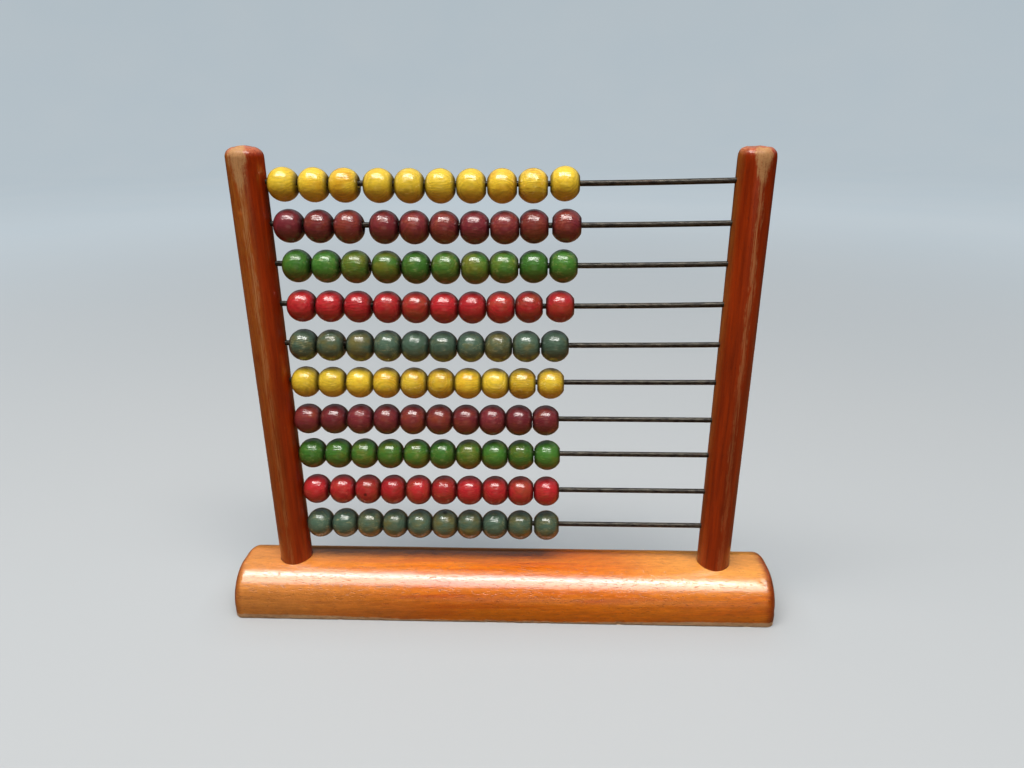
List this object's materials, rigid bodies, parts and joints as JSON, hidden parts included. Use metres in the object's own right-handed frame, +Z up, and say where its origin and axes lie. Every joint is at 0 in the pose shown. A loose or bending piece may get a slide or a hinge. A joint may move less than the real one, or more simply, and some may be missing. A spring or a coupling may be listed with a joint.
{
  "type": "counting-frame abacus",
  "caption": "Counting-frame abacus: coloured wooden beads slide along straight wires strung between round posts that stand in a loaf-shaped wooden base.",
  "frame": {"origin": "centre of the base's underside", "axes": "+X along the wires towards the empty end, -Y towards the user, +Z up along the posts"},
  "size_m": [0.22, 0.035, 0.184],
  "materials": {
    "base_wood": "worn orange-brown varnish over fine-grained wood",
    "post_wood": "worn red-brown varnish, rubbed pale at the tops",
    "wire_steel": "dark drawn steel wire, dull and mottled",
    "yellow_bead": "yellow stain under satin varnish",
    "maroon_bead": "maroon stain under satin varnish",
    "green_bead": "green stain under satin varnish",
    "red_bead": "red stain under satin varnish",
    "slate_bead": "grey-green stain under satin varnish"
  },
  "bodies": {
    "frame": {"base": "base_wood", "left_post": "post_wood", "right_post": "post_wood", "wire_01": "wire_steel", "wire_02": "wire_steel", "wire_03": "wire_steel", "wire_04": "wire_steel", "wire_05": "wire_steel", "wire_06": "wire_steel", "wire_07": "wire_steel", "wire_08": "wire_steel", "wire_09": "wire_steel", "wire_10": "wire_steel"},
    "row_01_beads_1_to_3": {"row_01_beads_1_to_3": "yellow_bead"},
    "row_01_beads_4_to_8": {"row_01_beads_4_to_8": "yellow_bead"},
    "row_01_bead_9": {"row_01_bead_9": "yellow_bead"},
    "row_01_bead_10": {"row_01_bead_10": "yellow_bead"},
    "row_02_beads_1_to_3": {"row_02_beads_1_to_3": "maroon_bead"},
    "row_02_beads_4_to_8": {"row_02_beads_4_to_8": "maroon_bead"},
    "row_02_bead_9": {"row_02_bead_9": "maroon_bead"},
    "row_02_bead_10": {"row_02_bead_10": "maroon_bead"},
    "row_03_beads_1_to_3": {"row_03_beads_1_to_3": "green_bead"},
    "row_03_beads_4_to_7": {"row_03_beads_4_to_7": "green_bead"},
    "row_03_beads_8_to_9": {"row_03_beads_8_to_9": "green_bead"},
    "row_03_bead_10": {"row_03_bead_10": "green_bead"},
    "row_04_beads_1_to_3": {"row_04_beads_1_to_3": "red_bead"},
    "row_04_beads_4_to_6": {"row_04_beads_4_to_6": "red_bead"},
    "row_04_beads_7_to_8": {"row_04_beads_7_to_8": "red_bead"},
    "row_04_bead_9": {"row_04_bead_9": "red_bead"},
    "row_04_bead_10": {"row_04_bead_10": "red_bead"},
    "row_05_beads_1_to_2": {"row_05_beads_1_to_2": "slate_bead"},
    "row_05_beads_3_to_5": {"row_05_beads_3_to_5": "slate_bead"},
    "row_05_beads_6_to_7": {"row_05_beads_6_to_7": "slate_bead"},
    "row_05_beads_8_to_9": {"row_05_beads_8_to_9": "slate_bead"},
    "row_05_bead_10": {"row_05_bead_10": "slate_bead"},
    "row_06_beads_1_to_2": {"row_06_beads_1_to_2": "yellow_bead"},
    "row_06_beads_3_to_4": {"row_06_beads_3_to_4": "yellow_bead"},
    "row_06_beads_5_to_7": {"row_06_beads_5_to_7": "yellow_bead"},
    "row_06_beads_8_to_9": {"row_06_beads_8_to_9": "yellow_bead"},
    "row_06_bead_10": {"row_06_bead_10": "yellow_bead"},
    "row_07_bead_1": {"row_07_bead_1": "maroon_bead"},
    "row_07_beads_2_to_3": {"row_07_beads_2_to_3": "maroon_bead"},
    "row_07_beads_4_to_6": {"row_07_beads_4_to_6": "maroon_bead"},
    "row_07_beads_7_to_9": {"row_07_beads_7_to_9": "maroon_bead"},
    "row_07_bead_10": {"row_07_bead_10": "maroon_bead"},
    "row_08_bead_1": {"row_08_bead_1": "green_bead"},
    "row_08_bead_2": {"row_08_bead_2": "green_bead"},
    "row_08_beads_3_to_4": {"row_08_beads_3_to_4": "green_bead"},
    "row_08_beads_5_to_7": {"row_08_beads_5_to_7": "green_bead"},
    "row_08_beads_8_to_10": {"row_08_beads_8_to_10": "green_bead"},
    "row_09_bead_1": {"row_09_bead_1": "red_bead"},
    "row_09_beads_2_to_3": {"row_09_beads_2_to_3": "red_bead"},
    "row_09_beads_4_to_6": {"row_09_beads_4_to_6": "red_bead"},
    "row_09_beads_7_to_8": {"row_09_beads_7_to_8": "red_bead"},
    "row_09_beads_9_to_10": {"row_09_beads_9_to_10": "red_bead"},
    "row_10_beads_1_to_2": {"row_10_beads_1_to_2": "slate_bead"},
    "row_10_beads_3_to_4": {"row_10_beads_3_to_4": "slate_bead"},
    "row_10_beads_5_to_7": {"row_10_beads_5_to_7": "slate_bead"},
    "row_10_beads_8_to_9": {"row_10_beads_8_to_9": "slate_bead"},
    "row_10_bead_10": {"row_10_bead_10": "slate_bead"}
  },
  "joints": [
    {"name": "across_row_01", "type": "slide", "parent": "row_01_bead_9", "child": "row_01_bead_10", "axis": [1, 0, 0], "range_m": [-0.0006, 0.04814]},
    {"name": "across_row_02", "type": "slide", "parent": "row_02_beads_4_to_8", "child": "row_02_bead_9", "axis": [1, 0, 0], "range_m": [0, 0.04724]},
    {"name": "across_row_03", "type": "slide", "parent": "row_03_beads_4_to_7", "child": "row_03_beads_8_to_9", "axis": [1, 0, 0], "range_m": [0, 0.04814]},
    {"name": "across_row_04", "type": "slide", "parent": "row_04_beads_4_to_6", "child": "row_04_beads_7_to_8", "axis": [1, 0, 0], "range_m": [0, 0.04759]},
    {"name": "across_row_05", "type": "slide", "parent": "row_05_beads_3_to_5", "child": "row_05_beads_6_to_7", "axis": [1, 0, 0], "range_m": [-0.0001, 0.04924]},
    {"name": "across_row_06", "type": "slide", "parent": "row_06_beads_3_to_4", "child": "row_06_beads_5_to_7", "axis": [1, 0, 0], "range_m": [-0.0003, 0.05064]},
    {"name": "across_row_07", "type": "slide", "parent": "row_07_beads_2_to_3", "child": "row_07_beads_4_to_6", "axis": [1, 0, 0], "range_m": [0, 0.05234]},
    {"name": "across_row_08", "type": "slide", "parent": "row_08_bead_2", "child": "row_08_beads_3_to_4", "axis": [1, 0, 0], "range_m": [-0.0001, 0.05164]},
    {"name": "across_row_09", "type": "slide", "parent": "row_09_bead_1", "child": "row_09_beads_2_to_3", "axis": [1, 0, 0], "range_m": [-0.0004, 0.05174]},
    {"name": "across_row_10", "type": "slide", "parent": "frame", "child": "row_10_beads_1_to_2", "axis": [1, 0, 0], "range_m": [-0.0004, 0.05154]},
    {"name": "play_row_01_beads_1_to_3", "type": "slide", "parent": "frame", "child": "row_01_beads_1_to_3", "axis": [1, 0, 0], "range_m": [-0.0008, 0.0015]},
    {"name": "play_row_01_beads_4_to_8", "type": "slide", "parent": "row_01_beads_1_to_3", "child": "row_01_beads_4_to_8", "axis": [1, 0, 0], "range_m": [-0.0017, 0.0015]},
    {"name": "play_row_01_bead_9", "type": "slide", "parent": "row_01_beads_4_to_8", "child": "row_01_bead_9", "axis": [1, 0, 0], "range_m": [-0.0004, 0.0015]},
    {"name": "play_row_02_beads_1_to_3", "type": "slide", "parent": "frame", "child": "row_02_beads_1_to_3", "axis": [1, 0, 0], "range_m": [-0.0013, 0.0015]},
    {"name": "play_row_02_beads_4_to_8", "type": "slide", "parent": "row_02_beads_1_to_3", "child": "row_02_beads_4_to_8", "axis": [1, 0, 0], "range_m": [-0.0023, 0.0015]},
    {"name": "play_row_02_bead_10", "type": "slide", "parent": "row_02_bead_9", "child": "row_02_bead_10", "axis": [1, 0, 0], "range_m": [-0.0011, 0.0015]},
    {"name": "play_row_03_beads_1_to_3", "type": "slide", "parent": "frame", "child": "row_03_beads_1_to_3", "axis": [1, 0, 0], "range_m": [-0.0026, 0.0015]},
    {"name": "play_row_03_beads_4_to_7", "type": "slide", "parent": "row_03_beads_1_to_3", "child": "row_03_beads_4_to_7", "axis": [1, 0, 0], "range_m": [-0.0009, 0.0015]},
    {"name": "play_row_03_bead_10", "type": "slide", "parent": "row_03_beads_8_to_9", "child": "row_03_bead_10", "axis": [1, 0, 0], "range_m": [-0.0003, 0.0015]},
    {"name": "play_row_04_beads_1_to_3", "type": "slide", "parent": "frame", "child": "row_04_beads_1_to_3", "axis": [1, 0, 0], "range_m": [-0.0027, 0.0015]},
    {"name": "play_row_04_beads_4_to_6", "type": "slide", "parent": "row_04_beads_1_to_3", "child": "row_04_beads_4_to_6", "axis": [1, 0, 0], "range_m": [-0.0005, 0.0015]},
    {"name": "play_row_04_bead_9", "type": "slide", "parent": "row_04_beads_7_to_8", "child": "row_04_bead_9", "axis": [1, 0, 0], "range_m": [0, 0.0015]},
    {"name": "play_row_04_bead_10", "type": "slide", "parent": "row_04_bead_9", "child": "row_04_bead_10", "axis": [1, 0, 0], "range_m": [-0.001, 0.0015]},
    {"name": "play_row_05_beads_1_to_2", "type": "slide", "parent": "frame", "child": "row_05_beads_1_to_2", "axis": [1, 0, 0], "range_m": [-0.0017, 0.0015]},
    {"name": "play_row_05_beads_3_to_5", "type": "slide", "parent": "row_05_beads_1_to_2", "child": "row_05_beads_3_to_5", "axis": [1, 0, 0], "range_m": [-0.0007, 0.0015]},
    {"name": "play_row_05_beads_8_to_9", "type": "slide", "parent": "row_05_beads_6_to_7", "child": "row_05_beads_8_to_9", "axis": [1, 0, 0], "range_m": [0, 0.0015]},
    {"name": "play_row_05_bead_10", "type": "slide", "parent": "row_05_beads_8_to_9", "child": "row_05_bead_10", "axis": [1, 0, 0], "range_m": [-0.0003, 0.0015]},
    {"name": "play_row_06_beads_1_to_2", "type": "slide", "parent": "frame", "child": "row_06_beads_1_to_2", "axis": [1, 0, 0], "range_m": [-0.0009, 0.0015]},
    {"name": "play_row_06_beads_3_to_4", "type": "slide", "parent": "row_06_beads_1_to_2", "child": "row_06_beads_3_to_4", "axis": [1, 0, 0], "range_m": [-0.0002, 0.0015]},
    {"name": "play_row_06_beads_8_to_9", "type": "slide", "parent": "row_06_beads_5_to_7", "child": "row_06_beads_8_to_9", "axis": [1, 0, 0], "range_m": [-0.0001, 0.0015]},
    {"name": "play_row_06_bead_10", "type": "slide", "parent": "row_06_beads_8_to_9", "child": "row_06_bead_10", "axis": [1, 0, 0], "range_m": [-0.0004, 0.0015]},
    {"name": "play_row_07_bead_1", "type": "slide", "parent": "frame", "child": "row_07_bead_1", "axis": [1, 0, 0], "range_m": [-0.0002, 0.0015]},
    {"name": "play_row_07_beads_2_to_3", "type": "slide", "parent": "row_07_bead_1", "child": "row_07_beads_2_to_3", "axis": [1, 0, 0], "range_m": [0, 0.0015]},
    {"name": "play_row_07_beads_7_to_9", "type": "slide", "parent": "row_07_beads_4_to_6", "child": "row_07_beads_7_to_9", "axis": [1, 0, 0], "range_m": [0, 0.0015]},
    {"name": "play_row_07_bead_10", "type": "slide", "parent": "row_07_beads_7_to_9", "child": "row_07_bead_10", "axis": [1, 0, 0], "range_m": [0, 0.0015]},
    {"name": "play_row_08_bead_1", "type": "slide", "parent": "frame", "child": "row_08_bead_1", "axis": [1, 0, 0], "range_m": [-0.0004, 0.0015]},
    {"name": "play_row_08_bead_2", "type": "slide", "parent": "row_08_bead_1", "child": "row_08_bead_2", "axis": [1, 0, 0], "range_m": [-0.0001, 0.0015]},
    {"name": "play_row_08_beads_5_to_7", "type": "slide", "parent": "row_08_beads_3_to_4", "child": "row_08_beads_5_to_7", "axis": [1, 0, 0], "range_m": [-0.0003, 0.0015]},
    {"name": "play_row_08_beads_8_to_10", "type": "slide", "parent": "row_08_beads_5_to_7", "child": "row_08_beads_8_to_10", "axis": [1, 0, 0], "range_m": [0, 0.0015]},
    {"name": "play_row_09_bead_1", "type": "slide", "parent": "frame", "child": "row_09_bead_1", "axis": [1, 0, 0], "range_m": [-0.0004, 0.0015]},
    {"name": "play_row_09_beads_4_to_6", "type": "slide", "parent": "row_09_beads_2_to_3", "child": "row_09_beads_4_to_6", "axis": [1, 0, 0], "range_m": [0, 0.0015]},
    {"name": "play_row_09_beads_7_to_8", "type": "slide", "parent": "row_09_beads_4_to_6", "child": "row_09_beads_7_to_8", "axis": [1, 0, 0], "range_m": [0, 0.0015]},
    {"name": "play_row_09_beads_9_to_10", "type": "slide", "parent": "row_09_beads_7_to_8", "child": "row_09_beads_9_to_10", "axis": [1, 0, 0], "range_m": [0, 0.0015]},
    {"name": "play_row_10_beads_3_to_4", "type": "slide", "parent": "row_10_beads_1_to_2", "child": "row_10_beads_3_to_4", "axis": [1, 0, 0], "range_m": [-0.0001, 0.0015]},
    {"name": "play_row_10_beads_5_to_7", "type": "slide", "parent": "row_10_beads_3_to_4", "child": "row_10_beads_5_to_7", "axis": [1, 0, 0], "range_m": [0, 0.0015]},
    {"name": "play_row_10_beads_8_to_9", "type": "slide", "parent": "row_10_beads_5_to_7", "child": "row_10_beads_8_to_9", "axis": [1, 0, 0], "range_m": [0, 0.0015]},
    {"name": "play_row_10_bead_10", "type": "slide", "parent": "row_10_beads_8_to_9", "child": "row_10_bead_10", "axis": [1, 0, 0], "range_m": [-0.0005, 0.0015]}
  ]
}
